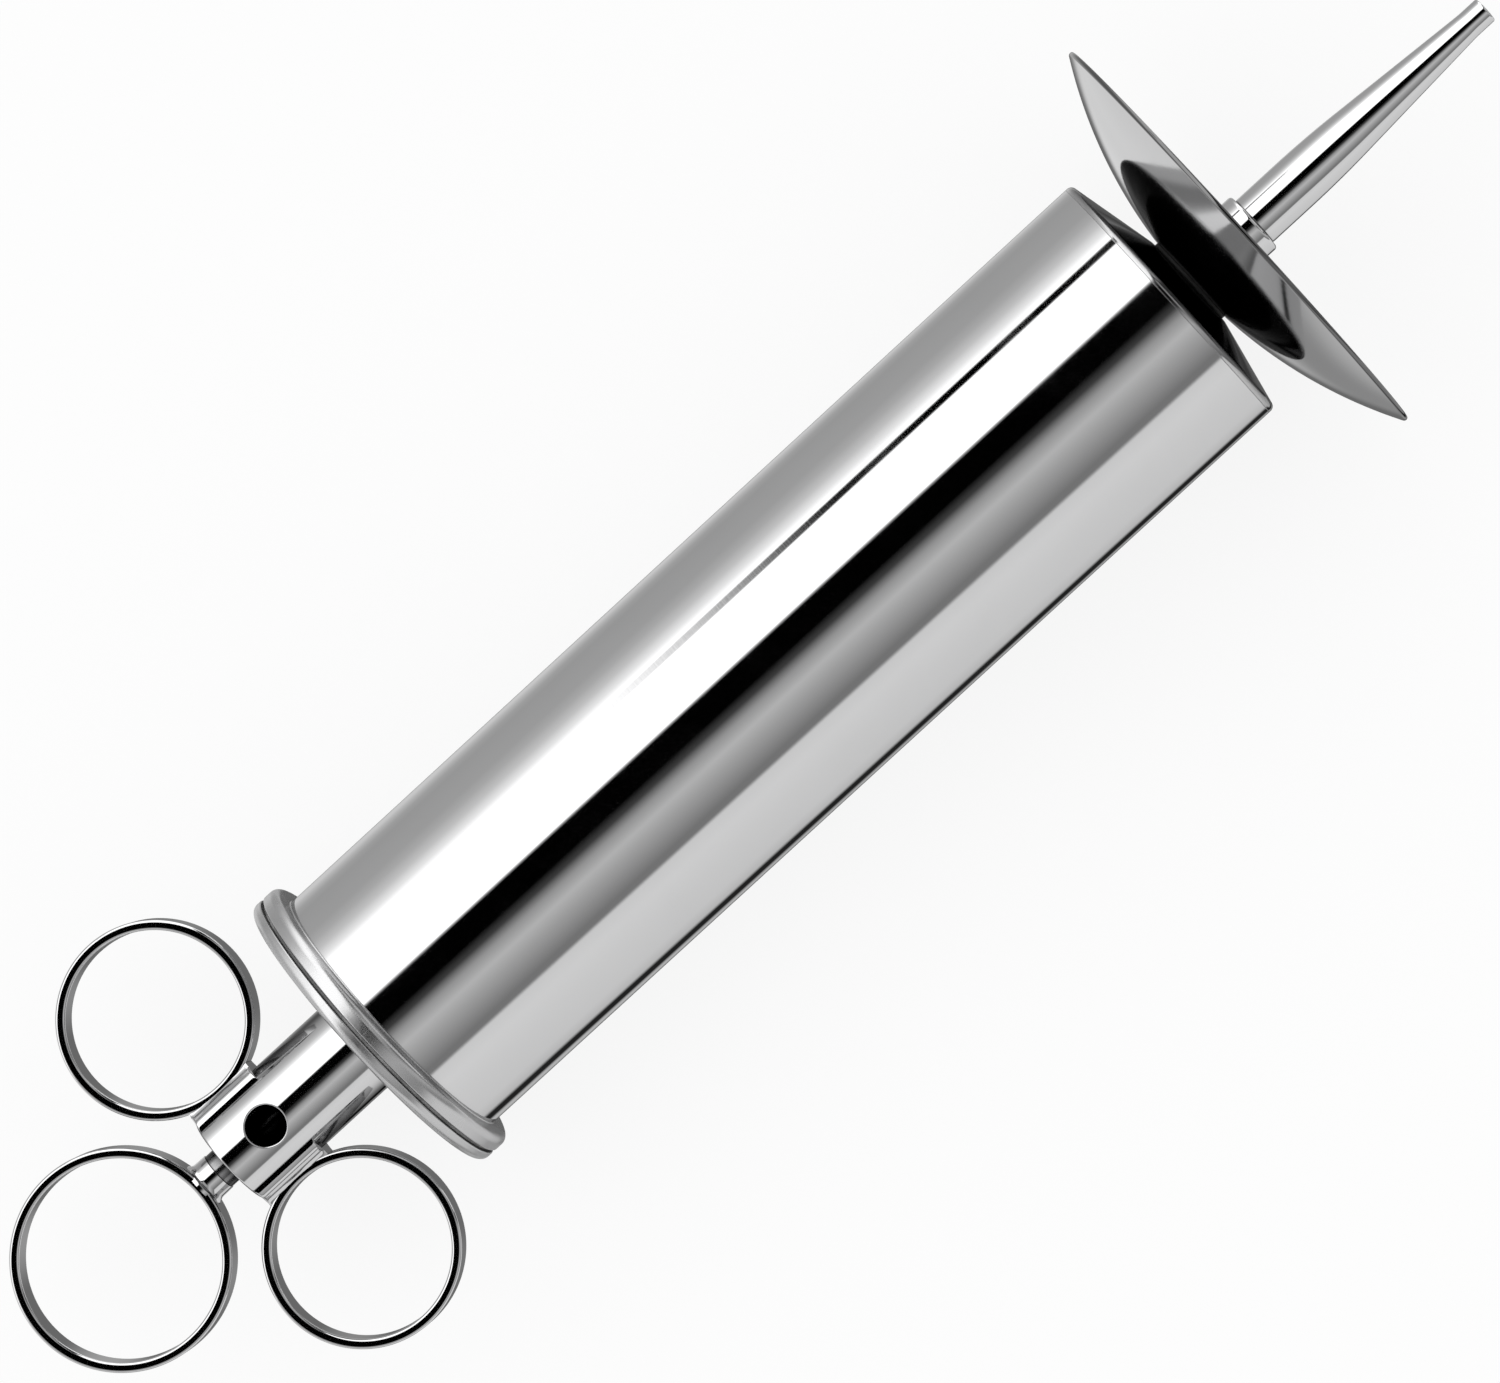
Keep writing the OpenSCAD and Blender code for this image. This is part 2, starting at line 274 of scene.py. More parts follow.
def front_cap(material):
    """Shallow cone spun from sheet, with a flat boss, a rounded rim and a skirt inside the barrel."""
    x0, x1, r = span("front_cap")
    seam = span("barrel_tube")[1]
    boss_r, wall, slope = 7.2, 1.0, 2.6 / 11.8
    skirt_r, skirt_in = r - BARREL_WALL - FIT, r - 2 * BARREL_WALL
    rim_x = x1 - (r - boss_r) * slope
    corners = [(x1 - wall, SPIGOT_R), (x1, SPIGOT_R, 0.1), (x1, boss_r, 0.8), (rim_x, r, 0.9),
               (seam, r, 0.06), (seam, skirt_r), (x0, skirt_r, 0.15), (x0, skirt_in, 0.15),
               (seam, skirt_in, 0.3), (x1 - wall, boss_r - wall, 0.4)]
    turned("front_cap", corners, material, 256)


def nozzle_spigot(material):
    """Threaded stud with a duct and a flat head that sits inside the front cap."""
    x0, x1, head_r = span("nozzle_spigot")
    head_t, pitch, depth = 0.8, 1.0, 0.4
    thread_x = span("splash_shield")[0] + 0.3
    corners = [(x0, SPIGOT_DUCT, 0.2), (x1, SPIGOT_DUCT, 0.2), (x1, SPIGOT_R, 0.45), (x0 + head_t, SPIGOT_R),
               (x0 + head_t, head_r, 0.15), (x0, head_r, 0.15)]
    turned("nozzle_spigot", corners, material, 96, (x0, x1, pitch / 10),
           thread(thread_x, x1, pitch, depth))


def barrel_collar(material):
    """Half of the flange, brazed round the barrel; the braze shows as a small fillet in front."""
    x0, x1, r = span("barrel_collar")
    barrel_r = span("barrel_tube")[2]
    braze, edge_round = 0.2, 1.1
    end = x1 + braze + 0.1
    corners = [(x0, barrel_r), (end, barrel_r), (end, barrel_r + FEATHER), (x1, barrel_r + FEATHER, braze),
               (x1, r, edge_round), (x0, r, 0.2)]
    turned("barrel_collar", corners, material, 256)


# --- Screw cap and handle ---------------------------------------------------------------------------------

def cap_gasket(material):
    x0, x1, r = span("cap_gasket")
    bore = span("barrel_tube")[2] - BARREL_WALL + 0.2
    turned("cap_gasket", [(x0, bore), (x1, bore), (x1, r, 0.2), (x0, r, 0.2)], material, 256)


def rear_cap(material):
    """The other half of the flange, with a threaded ring that screws into the barrel."""
    x0, x1, r = span("rear_cap")
    gasket_x = span("cap_gasket")[0]
    sleeve_r = span("guide_sleeve")[2]
    thread_r = span("front_cup")[2]
    wall, pitch, depth, braze, edge_round = 1.9, 1.25, 0.55, 0.3, 1.1
    end = x0 - braze - 0.1
    corners = [(gasket_x, sleeve_r), (gasket_x, thread_r - wall, 0.4), (x1, thread_r - wall, 0.2),
               (x1, thread_r, 0.4), (gasket_x, thread_r), (gasket_x, r, 0.2), (x0, r, edge_round),
               (x0, sleeve_r + FEATHER, braze), (end, sleeve_r + FEATHER), (end, sleeve_r)]
    turned("rear_cap", corners, material, 256, (gasket_x, x1, pitch / 10),
           thread(gasket_x + 0.3, x1, pitch, depth))


def front_bush(material):
    x0, x1, head_r = span("front_bush")
    body_r, head_t = head_r - SLEEVE_WALL, 1.0
    corners = [(x0, ROD_BORE, 0.25), (x1, ROD_BORE, 0.25), (x1, head_r, 0.3), (x1 - head_t, head_r),
               (x1 - head_t, body_r), (x0, body_r, 0.3)]
    turned("front_bush", corners, material, 96)


def drilled_tube(x0, x1, outer_r, inner_r, hole_x, hole_r, edge):
    """Tube on the X axis with a round hole through its top; the hole's edges and the tube's ends are rounded.

    The wall is first laid out flat: a place is (station, s), where s from -1 to 1 crosses the square window
    round the hole and s from 1 to 3 goes round the rest of the tube.
    """
    side, rest, rings, bends = 12, 108, 6, 5  # numbers of faces: window's side, rest of the tube, hole, edge
    window = 1.7 * hole_r  # half of the window's side
    across = [*np.linspace(-1, 1, side + 1), *np.linspace(1, 3, rest + 1)[1:-1]]
    stations = [x0 + edge, *(hole_x + window * np.linspace(-1, 1, side + 1)), x1 - edge]
    cols = len(across)
    flat = [(x, s) for x in stations for s in across]
    faces = []
    for i in range(len(stations) - 1):
        for j in range(cols):
            if not (1 <= i <= side and j < side):
                k = (j + 1) % cols
                faces.append([i * cols + j, (i + 1) * cols + j, (i + 1) * cols + k, i * cols + k])
    near, far = cols, cols * (side + 1)
    loop = [near + j for j in range(side)] + [near + i * cols + side for i in range(side)]
    loop += [far + side - j for j in range(side)] + [far - i * cols for i in range(side)]
    bearings = [math.atan2(flat[v][1] * window, flat[v][0] - hole_x) for v in loop]
    border = [Vector((flat[v][0], flat[v][1])) for v in loop]
    for k in range(1, rings + 1):
        ring = []
        for start, a in zip(border, bearings):
            goal = Vector((hole_x + (hole_r + edge) * math.cos(a), (hole_r + edge) * math.sin(a) / window))
            flat.append(tuple(start.lerp(goal, k / rings)))
            ring.append(len(flat) - 1)
        faces.extend([ring[j], ring[(j + 1) % len(loop)], loop[(j + 1) % len(loop)], loop[j]]
                     for j in range(len(loop)))
        loop = ring

    def angle(s, r):
        half = math.asin(window / r)
        return math.asin(s * window / r) if s <= 1 else half + (s - 1) * (math.pi - half)

    def radial(s, r):
        a = angle(s, r)
        return Vector((0, math.sin(a), math.cos(a)))

    points = [Vector((x, 0, 0)) + radial(s, r) * r for r in (outer_r, inner_r) for x, s in flat]
    normals = [radial(s, r) * sign for r, sign in ((outer_r, 1), (inner_r, -1)) for x, s in flat]
    count = len(flat)
    out = [list(f) for f in faces] + [[v + count for v in reversed(f)] for f in faces]

    def wall(edge_loop, directions):
        """Rounded wall from a loop on the outer skin to the same loop on the inner skin."""
        last = list(edge_loop)
        bend = [math.pi / 2 * k / bends for k in range(1, bends + 1)]
        steps = [(outer_r, 1, b) for b in bend] + [(inner_r, -1, b) for b in reversed(bend)] + [None]
        for step in steps:
            ring = []
            for v, direction in zip(edge_loop, directions):
                if step is None:
                    ring.append(v + count)
                    continue
                r, sign, b = step
                up = radial(flat[v][1], r)
                points.append(points[v if sign > 0 else v + count] + direction * edge * math.sin(b)
                              - up * sign * edge * (1 - math.cos(b)))
                normals.append(up * sign * math.cos(b) + direction * math.sin(b))
                ring.append(len(points) - 1)
            size = len(ring)
            out.extend([ring[j], ring[(j + 1) % size], last[(j + 1) % size], last[j]] for j in range(size))
            last = ring

    wall(loop, [Vector((-math.cos(a), -math.sin(a), 0)) for a in bearings])
    wall([cols - 1 - j for j in range(cols)], [Vector((-1, 0, 0))] * cols)
    wall([len(stations) * cols - cols + j for j in range(cols)], [Vector((1, 0, 0))] * cols)
    corner_normals = [tuple(normals[v].normalized()) for face in out for v in face]
    used = sorted({v for face in out for v in face})
    place = {v: k for k, v in enumerate(used)}
    return (np.array([tuple(points[v]) for v in used]), [[place[v] for v in face] for face in out],
            np.array(corner_normals))


def guide_sleeve(material):
    x0, x1, r = span("guide_sleeve")
    drain_x = span("rear_cap")[0] - DRAIN_BACK
    piece("guide_sleeve", drilled_tube(x0, x1, r, r - SLEEVE_WALL, drain_x, DRAIN_R, 0.3), material)


def rear_bush(material):
    x0, x1, r = span("rear_bush")
    turned("rear_bush", [(x0, ROD_BORE, 0.4), (x1, ROD_BORE, 0.2), (x1, r, 0.3), (x0, r, 0.3)], material, 96)


TO_Z = ((0, 1, 0), (0, 0, 1), (1, 0, 0))  # turns the X axis to +Z


def bent_band(bore_r):
    """Flat band with rounded edges, bent to a ring about the Z axis."""
    half, outer_r = BAND_W / 2, bore_r + BAND_T
    corners = [(-half, bore_r, BAND_ROUND), (half, bore_r, BAND_ROUND), (half, outer_r, BAND_ROUND),
               (-half, outer_r, BAND_ROUND)]
    return placed(swept(outline(corners), 256), turn=TO_Z)


def saddle(ring_r, ring_y, sleeve_r):
    """Pad on the sleeve's +Y side that carries a finger ring, with solder drawn up along the ring's band."""
    rounding, solder, cover, sink = 0.5, 0.9, 0.35, 0.2
    x = np.linspace(-SADDLE_L / 2, SADDLE_L / 2, 81)[:, None]
    z = np.linspace(-SADDLE_H / 2, SADDLE_H / 2, 73)[None, :]

    def drop(inside):
        return rounding - np.sqrt(rounding ** 2 - np.clip(rounding - inside, 0, rounding) ** 2)

    seat = np.sqrt(sleeve_r ** 2 - z ** 2) + 0 * x
    top = seat + SADDLE_T - drop(SADDLE_L / 2 - abs(x)) - drop(SADDLE_H / 2 - abs(z))
    band_outer = ring_y - np.sqrt(ring_r ** 2 - x ** 2)
    band_inner = ring_y - np.sqrt((ring_r - BAND_T) ** 2 - x ** 2)
    goal = np.maximum(np.minimum(top + solder, band_inner - cover), band_outer + sink)
    near = np.clip(1 - (abs(z) - BAND_W / 2 + sink) / solder, 0, 1)
    top = top + np.maximum(goal - top, 0) * (1 - np.sqrt(1 - near ** 2))
    return sheet(np.stack([x + 0 * z, top, z + 0 * x], -1), np.stack([x + 0 * z, seat, z + 0 * x], -1))


def finger_ring(node, material):
    low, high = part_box(node)
    side = 1 if high.y > 0 else -1
    sleeve_r = span("guide_sleeve")[2]
    ring_r = (high.x - low.x) / 2 / MM
    ring_x, ring_y = (high.x + low.x) / 2 / MM, max(high.y, -low.y) / MM - ring_r
    part = joined(placed(bent_band(ring_r - BAND_T), (ring_x, ring_y, 0)),
                  placed(saddle(ring_r, ring_y, sleeve_r), (ring_x, 0, 0)))
    piece(node, placed(part, turn=np.diag((1, side, side))), material)


# --- Plunger ----------------------------------------------------------------------------------------------

def piston_rod(material):
    """Rod with a collar that the piston rests on and a threaded front end."""
    x0, x1, collar_r = span("piston_rod")
    seat_x = span("rear_piston_disc")[0]
    collar_l, pitch, depth = 1.5, 0.8, 0.3
    corners = [(x0, 0), (x1, 0), (x1, STUD_R, 0.4), (seat_x, STUD_R), (seat_x, collar_r, 0.2),
               (seat_x - collar_l, collar_r, 0.4), (seat_x - collar_l, ROD_R, 0.3), (x0, ROD_R, 0.2)]
    turned("piston_rod", corners, material, 128, (seat_x, x1, pitch / 8),
           thread(span("front_piston_disc")[1], x1, pitch, depth))


def thumb_ring(material):
    """Ring with a short flared root round the rod's end."""
    low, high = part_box("thumb_ring")
    ring_r = high.y / MM
    ring_x, end = low.x / MM + ring_r, high.x / MM
    root_x, root_r = ring_x + ring_r, high.z / MM
    inside, flare = root_x - BAND_T / 2, 0.12
    root = outline([(inside, ROD_R), (end, ROD_R), (end, ROD_R + flare, flare / 2),
                    (root_x + 0.2, ROD_R + 0.16, 1.0), (root_x - 0.2, root_r, 0.2), (inside, root_r)])
    band = placed(bent_band(ring_r - BAND_T), (ring_x, 0, 0))
    piece("thumb_ring", joined(band, swept(root, 96)), material)


def plain_ring(node, bore, rounding, material, segments=128):
    x0, x1, r = span(node)
    corners = [(x0, bore, rounding), (x1, bore, rounding), (x1, r, rounding), (x0, r, rounding)]
    turned(node, corners, material, segments)


def cup(node, lip_side, material):
    """Cup packing: a web with a lip on one side (+1 is the front) that thins towards its edge."""
    x0, x1, r = span(node)
    web, lip, thin = 1.5, 1.7, 0.8
    bottom, top = (x0, x1) if lip_side > 0 else (x1, x0)
    corners = [(bottom, STUD_BORE, 0.2), (bottom + web * lip_side, STUD_BORE, 0.2),
               (bottom + web * lip_side, r - lip, 0.7), (top, r - thin, 0.3), (top, r, 0.15),
               (bottom, r, 0.8)]
    turned(node, corners if lip_side > 0 else corners[::-1], material, 192)


def piston_spacer(material):
    """Spacer shaped as a spool, between the two cups."""
    x0, x1, r = span("piston_spacer")
    rim, neck_r = 1.5, 8.0
    corners = [(x0, STUD_BORE, 0.2), (x1, STUD_BORE, 0.2), (x1, r, 0.3), (x1 - rim, r, 0.3),
               (x1 - rim, neck_r, 0.5), (x0 + rim, neck_r, 0.5), (x0 + rim, r, 0.3), (x0, r, 0.3)]
    turned("piston_spacer", corners, material, 192)


def piston_nut(material):
    """Hexagon nut: a turned blank with chamfered corners whose outside is cut to six flats."""
    x0, x1, flat_r = span("piston_nut")
    half_flat = math.radians(30)
    face_r, corner_r, chamfer = flat_r - 0.1, flat_r / math.cos(half_flat) - 0.1, 0.35
    corners = [(x0, STUD_BORE, 0.2), (x1, STUD_BORE, 0.25), (x1, face_r, 0.1), (x1 - chamfer, corner_r),
               (x0 + chamfer, corner_r), (x0, face_r, 0.1)]

    def flats(_, r, angle):
        turn = (angle + half_flat) % (2 * half_flat) - half_flat
        hexagon = flat_r / np.cos(turn)
        return np.minimum(hexagon - r, 0) * (r > STUD_BORE + 0.5)

    turned("piston_nut", corners, material, 180, (x0, x1, 0.4), flats)


# --- Shield and nozzle ------------------------------------------------------------------------------------

def splash_shield(material):
    """Dish pressed from sheet: a flat seat that runs into part of a sphere, with a rounded rim."""
    x0, _, r = span("splash_shield")
    sheet_t, sphere_r, seat_r, blend = 0.8, 68.0, 7.2, 4.0
    centre = x0 + math.sqrt(sphere_r ** 2 - seat_r ** 2)
    first, last = math.asin(seat_r / sphere_r), math.asin(r / sphere_r)
    middle, reach = (first + last) / 2, sphere_r / math.cos((last - first) / 2)

    def face(shift, rim_round):
        """Seat edge, the corner that is rounded to the sphere, and the rim, on one side of the sheet."""
        crown = (centre + shift - reach * math.cos(middle), reach * math.sin(middle), sphere_r - 3)
        rim_x = centre + shift - math.sqrt(sphere_r ** 2 - r ** 2)
        return [(x0 + shift, seat_r, blend), crown, (rim_x, r, rim_round)]

    hole = [(x0, SPIGOT_BORE, 0.15), (x0 + sheet_t, SPIGOT_BORE, 0.15)]
    corners = [*hole, *face(sheet_t, 0.3), *reversed(face(0, 0.45))]
    turned("splash_shield", corners, material, 320)


def nozzle_hub(material):
    """Hub with a knurled base, screwed on to the spigot."""
    x0, x1, r = span("nozzle_hub")
    seat_x = span("nozzle_tube")[0]
    base_l, slope_l, neck_r, chamfer = 4.5, 1.2, 4.6, 0.35
    flutes, flute_w, flute_depth = 30, 0.95, 0.4
    corners = [(x0, SPIGOT_BORE, 0.3), (seat_x, SPIGOT_BORE), (seat_x, TENON_R), (x1, TENON_R),
               (x1, neck_r, 0.5), (x0 + base_l + slope_l, neck_r, 1.0), (x0 + base_l, r - chamfer, 0.25),
               (x0 + base_l - chamfer, r, 0.1), (x0 + chamfer, r, 0.1), (x0, r - chamfer, 0.1)]

    def knurl(x, radius, angle):
        """Flutes along the base that run out at its front end and towards the axis."""
        pitch = 2 * math.pi / flutes
        off = ((angle + pitch / 2) % pitch - pitch / 2) * r
        groove = np.clip(1 - (2 * off / flute_w) ** 2, 0, 1)
        inside = np.clip((x0 + base_l + 0.1 - x) / 0.4, 0, 1) * np.clip((radius - r + 1.0) / 0.9, 0, 1)
        return -flute_depth * groove * inside

    turned("nozzle_hub", corners, material, flutes * 16, (x0, x0 + base_l, 0.5), knurl)


def nozzle_tube(material):
    """Tube that is straight, then tapers to the tip, brazed into the hub with a tenon."""
    x0, x1, body_r = span("nozzle_tube")
    duct_r, tip_r, outlet_r, straight, land, outlet_l = 2.2, 1.9, 1.2, 12.0, 3.2, 12.0
    hub_end = span("nozzle_hub")[1]
    taper_x, shoulder_x = hub_end + straight, hub_end + FIT
    corners = [(x0, duct_r, 0.2), (taper_x, duct_r, 2.0), (x1 - outlet_l, outlet_r, 2.0),
               (x1, outlet_r, 0.25), (x1, tip_r, 0.3), (x1 - land, tip_r, 20.0), (taper_x, body_r, 150.0),
               (shoulder_x, body_r, 0.15), (shoulder_x, TENON_R), (x0, TENON_R)]
    turned("nozzle_tube", corners, material, 128)


# --- Materials --------------------------------------------------------------------------------------------

def linear(grey):
    """Scene value of a display grey."""
    return grey ** 2.2


class Tree:
    """Short calls that add nodes to a node tree. An input is a socket or a plain value."""

    def __init__(self, tree):
        self.tree = tree
        tree.nodes.clear()

    def add(self, kind, inputs=None, output=0, **settings):
        """Adds a node and returns one of its outputs."""
        node = self.tree.nodes.new("ShaderNode" + kind)
        for name, value in settings.items():
            setattr(node, name, value)
        for name, value in (inputs or {}).items():
            if isinstance(value, bpy.types.NodeSocket):
                self.tree.links.new(value, node.inputs[name])
            else:
                node.inputs[name].default_value = value
        return node.outputs[output] if node.outputs else None

    def math(self, operation, a, b=0.0):
        return self.add("Math", {0: a, 1: b}, operation=operation)

    def plus(self, value, *others):
        """Sum of all the values."""
        for other in others:
            value = self.math("ADD", value, other)
        return value

    def times(self, value, *others):
        """Product of all the values."""
        for other in others:
            value = self.math("MULTIPLY", value, other)
        return value

    def rest(self, share):
        """What a share leaves of 1."""
        return self.math("SUBTRACT", 1.0, share)

    def length(self, a, b):
        """Length of the flat vector (a, b)."""
        return self.math("SQRT", self.plus(self.times(a, a), self.times(b, b)))

    def parts(self, vector):
        """The x, y and z of a vector."""
        node = self.tree.nodes.new("ShaderNodeSeparateXYZ")
        self.tree.links.new(vector, node.inputs[0])
        return list(node.outputs)

    def step(self, value, low, high):
        """0 below low, 1 above high, smooth between them."""
        return self.add("MapRange", {"Value": value, "From Min": low, "From Max": high},
                        interpolation_type="SMOOTHSTEP")

    def mix(self, share, a, b):
        """Mix of two greys."""
        return self.add("Mix", {0: share, 2: a, 3: b}, data_type="FLOAT")

    def noise(self, vector, scale, detail, roughness=0.5, distortion=0.0):
        return self.add("TexNoise", {"Vector": vector, "Scale": scale, "Detail": detail,
                                     "Roughness": roughness, "Distortion": distortion})

    def ramp(self, value, stops):
        """Grey from a list of (position, grey) stops."""
        node = self.tree.nodes.new("ShaderNodeValToRGB")
        self.tree.links.new(value, node.inputs[0])
        elements = node.color_ramp.elements
        for k, (position, grey) in enumerate(stops):
            element = elements[k] if k < 2 else elements.new(position)
            element.position = position
            element.color = (grey, grey, grey, 1)
        return node.outputs[0]


def new_material(name):
    material = bpy.data.materials.new(name)
    material.use_nodes = True
    return material, Tree(material.node_tree)


def metal(name, colour, roughness, lines=0.0, line_scale=4000.0, corner_shade=0.35, reach=0.0012, shut=0.15,
          rays=4, edge=0.0, cut_r=None):
    """Polished metal: fine lines turned round the axis, hair scratches, smudges, and painted shade in its
    corners and gaps.

    The argument corner_shade is how dark the painted shade in a corner gets, reach how deep a gap still
    counts as a corner, shut how open a place may be and still be darkest, and rays how many directions are
    tried to find that out. Edge is how dark the metal is painted where it is seen along its surface, a
    painted shade at its outline. Past the radius cut_r (mm) its colour is painted darker, a painted shade
    that dims the rim's highlight.
    """
    material, t = new_material(name)
    place = t.add("TexCoord", output=3)
    x, y, z = t.parts(place)
    radius = t.length(y, z)
    rings = t.add("CombineXYZ", {0: t.times(x, line_scale), 1: t.times(radius, line_scale),
                                 2: t.times(t.plus(y, z), 60)})
    turning = t.noise(rings, 1.0, 4.0, 0.7)
    hair = t.add("Mapping", {"Vector": place, "Scale": (180, 2600, 2600), "Rotation": (0.3, 0.5, 0.2)})
    scratches = t.noise(hair, 1.0, 6.0, 0.75)
    smudge = t.step(t.noise(place, 60.0, 5.0, 0.6, 0.6), 0.42, 0.75)
    rough = t.plus(roughness, t.times(smudge, roughness),
                   t.times(t.step(scratches, 0.55, 0.8), roughness * 0.8))

    # painted shade: the colour darkens where ambient occlusion finds the surface shut in by a corner or a
    # nearby part
    corner = t.add("AmbientOcclusion", {"Distance": reach}, output=1, samples=rays, inside=False)
    unshaded = t.step(corner, shut, min(shut + 0.7, 1.0))
    tone = t.times(t.mix(t.times(smudge, 0.25), 1.0, 0.94), t.mix(unshaded, 1 - corner_shade, 1.0))
    # painted shade along the outline, where the surface is seen edge-on
    if edge:
        facing = t.add("LayerWeight", {"Blend": 0.5}, output=1)
        tone = t.times(tone, t.mix(t.step(facing, 0.3, 0.65), 1.0, 1 - edge))
    # painted shade on the rim past cut_r, which dims the highlight the rim mirrors
    if cut_r:
        rim_shade = t.step(radius, (cut_r - 0.25) * MM, (cut_r - 0.1) * MM)
        tone = t.times(tone, t.mix(rim_shade, 1.0, 0.25))
    tint = t.add("Mix", {0: 1.0, 6: (*colour, 1), 7: tone}, output=2, data_type="RGBA",
                 blend_type="MULTIPLY")

    height = t.plus(t.times(turning, lines), t.times(scratches, lines * 0.35))
    bump = t.add("Bump", {"Height": height, "Strength": 1.0, "Distance": 0.00001})
    surface = t.add("BsdfPrincipled", {"Base Color": tint, "Metallic": 1.0, "Roughness": rough,
                                       "Normal": bump})
    t.add("OutputMaterial", {"Surface": surface})
    return material


def rubber(name, grey):
    """Matt moulded rubber with a fine grain and a bloom of lighter dust."""
    material, t = new_material(name)
    place = t.add("TexCoord", output=3)
    grain = t.noise(place, 5000.0, 3.0)
    bloom = t.noise(place, 180.0, 5.0, 0.65)
    tone = t.mix(t.step(bloom, 0.45, 0.75), grey, grey * 2.2)
    rough = t.mix(bloom, 0.5, 0.8)
    bump = t.add("Bump", {"Height": grain, "Strength": 0.5, "Distance": 0.00003})
    surface = t.add("BsdfPrincipled", {"Base Color": tone, "Roughness": rough, "Normal": bump,
                                       "Specular IOR Level": 0.35})
    t.add("OutputMaterial", {"Surface": surface})
    return material


# --- Studio -----------------------------------------------------------------------------------------------

BACKDROP = 0.993  # display grey of the floor and of what lies beyond it

# What polished metal mirrors: a tent of pale and dark panels along the object. Each point of its cross
# section is (angle, display grey), with the angle in degrees from overhead and positive towards +Y.
TENT = [
    (-180, 0.72), (-167, 0.70), (-161, 0.15), (-151, 0.15), (-145.5, 0.72), (-130, 0.78), (-98, 0.80),
    (-78, 0.82), (-65, 0.80), (-62.5, 0.46), (-57.7, 0.455), (-47.7, 0.55), (-37.7, 0.63), (-27.7, 0.71),
    (-17.7, 0.58), (-10, 0.25), (-3, 0.01), (16.5, 0.01), (18, 1.12), (66, 1.12), (73, 0.93), (82, 0.77),
    (92, 0.67), (102, 0.62), (132, 0.60), (142, 0.63), (152, 0.71), (162, 0.79), (180, 0.80),
]
STRIP = (-30, 18)  # angles of the black strip overhead, with its soft side
SEAM, SEAM_HALF = 61.5, 3.2  # angle of the thin black gap between two panels, and half its width
GROUND = (164, 174)  # angles over which the panels give way to the dark ground, on both sides


def studio_world():
    """Even light for everything but polished metal, which sees the tent.

    Lean is how far forward a direction points, over how far it points away from the X axis.
    """
    world = bpy.data.worlds.new("studio")
    bpy.context.scene.world = world
    world.use_nodes = True
    t = Tree(world.node_tree)
    x, y, z = t.parts(t.add("TexCoord", output=0))
    degrees = t.times(t.math("ARCTAN2", y, z), 180 / math.pi)
    aside = t.math("ABSOLUTE", degrees)
    lean = t.math("DIVIDE", x, t.math("MAXIMUM", t.length(y, z), 0.001))
    back = t.times(lean, -1.0)
    low = t.step(aside, 156.0, 172.0)

    # the panels fan out towards the front, but not near the ground
    skew = t.times(lean, 0.5, t.rest(low))
    skewed = t.add("Clamp", {"Value": t.times(degrees, t.rest(skew)), "Min": -180.0, "Max": 180.0})
    tent = t.ramp(t.plus(t.math("DIVIDE", skewed, 360), 0.5), [(a / 360 + 0.5, linear(g)) for a, g in TENT])

    # the seam runs askew, and only along part of the tent
    middle = t.plus(SEAM, t.times(lean, 25.0))
    off = t.math("DIVIDE", t.math("ABSOLUTE", t.math("SUBTRACT", degrees, middle)), SEAM_HALF)
    gap = t.rest(t.step(off, 0.65, 1.25))
    along = t.times(t.step(lean, -0.09, -0.035), t.rest(t.step(lean, 0.02, 0.06)))
    tent = t.mix(t.times(gap, along), tent, 0.0)

    # the black strip is short, with grey past its ends
    over = t.times(t.step(degrees, STRIP[0], STRIP[0] + 16),
                   t.rest(t.step(degrees, STRIP[1] - 2, STRIP[1])))
    ends = t.plus(t.step(lean, 0.25, 0.40), t.step(back, 0.35, 0.5))
    tent = t.mix(t.times(over, ends), tent, linear(0.6))

    # the ground is dark, but behind the object it is bright on the +Y side and grey on the other
    tent = t.mix(t.step(aside, *GROUND), tent, linear(0.41))
    behind = t.times(low, t.step(back, 0.15, 0.3))
    tent = t.mix(behind, tent, t.mix(t.step(y, -0.12, 0.04), linear(0.53), linear(0.84)))

    # the tent's two ends are pale
    tent = t.mix(t.step(t.math("ABSOLUTE", lean), 1.5, 3.5), tent, linear(0.78))

    path = t.tree.nodes.new("ShaderNodeLightPath").outputs
    again = t.math("GREATER_THAN", path["Glossy Depth"], 1.5)  # a mirror seen in a mirror is darker
    mirrored = t.add("Background", {"Color": tent, "Strength": t.mix(again, 1.0, 0.5)})
    lit = t.add("Background", {"Color": (1, 1, 1, 1), "Strength": linear(BACKDROP)})
    t.add("OutputWorld", {"Surface": t.add("MixShader", {0: path["Is Glossy Ray"], 1: lit, 2: mirrored})})


